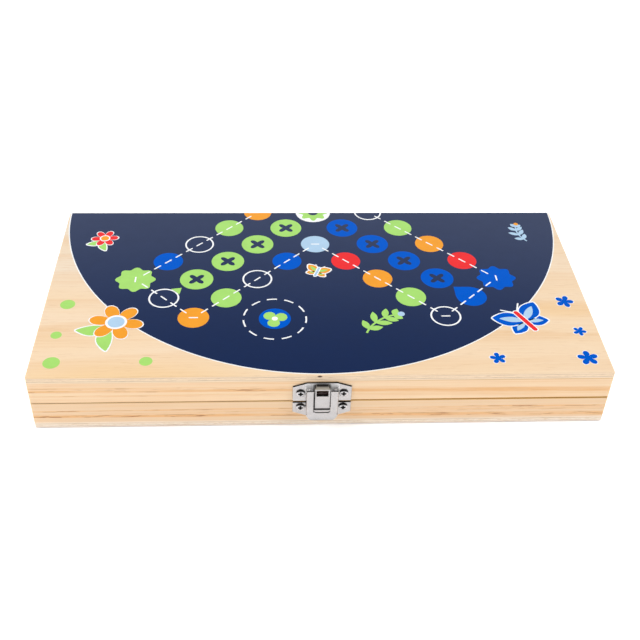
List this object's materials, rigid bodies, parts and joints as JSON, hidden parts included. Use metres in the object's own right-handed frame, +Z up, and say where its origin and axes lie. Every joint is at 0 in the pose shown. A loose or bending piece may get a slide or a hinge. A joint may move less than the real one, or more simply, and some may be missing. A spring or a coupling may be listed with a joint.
{
  "type": "folding board game box",
  "caption": "Folding wooden ludo box: two hinged shallow trays with a printed board on the outside, an over-centre front latch, and pawns and a die inside.",
  "frame": {"origin": "middle of the lower tray's outer face, which the closed box stands on", "axes": "+X along the box to its right end, +Y to the hinges at the back, +Z up; the latch faces -Y"},
  "size_m": [0.29, 0.1518, 0.034],
  "materials": {
    "plywood": "sanded pale plywood, thin clear matt lacquer",
    "pine": "sanded pine with long brown growth lines, thin clear matt lacquer",
    "latch_nickel": "bright nickel plate on stamped steel",
    "screw_steel": "bright nickel plate",
    "hinge_steel": "bright nickel plate on rolled steel",
    "pawn_green": "green gloss paint on turned wood",
    "pawn_blue": "blue gloss paint on turned wood",
    "pawn_red": "red gloss paint on turned wood",
    "pawn_orange": "orange gloss paint on turned wood",
    "die_white": "white painted wood with dark pips",
    "ink_navy": "navy printing ink",
    "ink_white": "white printing ink",
    "ink_green": "green printing ink",
    "ink_blue": "blue printing ink",
    "ink_sky": "light blue printing ink",
    "ink_red": "red printing ink",
    "ink_orange": "orange printing ink"
  },
  "bodies": {
    "lower_tray": {"lower_panel": "plywood", "lower_front_rail": "pine", "lower_back_rail": "pine", "lower_left_rail": "pine", "lower_right_rail": "pine", "left_hinge_lower_leaf": "hinge_steel", "right_hinge_lower_leaf": "hinge_steel", "left_hinge_pin": "hinge_steel", "right_hinge_pin": "hinge_steel", "hinge_lower_screws": "screw_steel", "latch_base_screws": "screw_steel", "latch_base_plate": "latch_nickel", "latch_rivets": "latch_nickel", "green_pawns": "pawn_green", "blue_pawns": "pawn_blue", "red_pawns": "pawn_red", "orange_pawns": "pawn_orange", "die": "die_white"},
    "upper_tray": {"upper_panel": "plywood", "upper_front_rail": "pine", "upper_back_rail": "pine", "upper_left_rail": "pine", "upper_right_rail": "pine", "left_hinge_upper_leaf": "hinge_steel", "right_hinge_upper_leaf": "hinge_steel", "hinge_upper_screws": "screw_steel", "latch_keeper_screws": "screw_steel", "latch_keeper_plate": "latch_nickel"},
    "latch_lever": {"latch_lever": "latch_nickel", "latch_link_pin": "latch_nickel"},
    "latch_link": {"latch_link": "latch_nickel"}
  },
  "joints": [
    {"name": "lid_hinge", "type": "hinge", "parent": "lower_tray", "child": "upper_tray", "pos_m": [0, 0.07258, 0.017], "axis": [-1, 0, 0], "range_deg": [0, 180]},
    {"name": "latch_lever_pivot", "type": "hinge", "parent": "lower_tray", "child": "latch_lever", "pos_m": [-0.001, -0.07493, 0.026], "axis": [-1, 0, 0], "range_deg": [0, 90]},
    {"name": "latch_link_pivot", "type": "hinge", "parent": "latch_lever", "child": "latch_link", "pos_m": [-0.001, -0.07452, 0.0148], "axis": [1, 0, 0], "range_deg": [0, 99]}
  ],
  "couplings": [
    {"joint": "latch_link_pivot", "follows": "latch_lever_pivot", "ratio": 1.1}
  ]
}
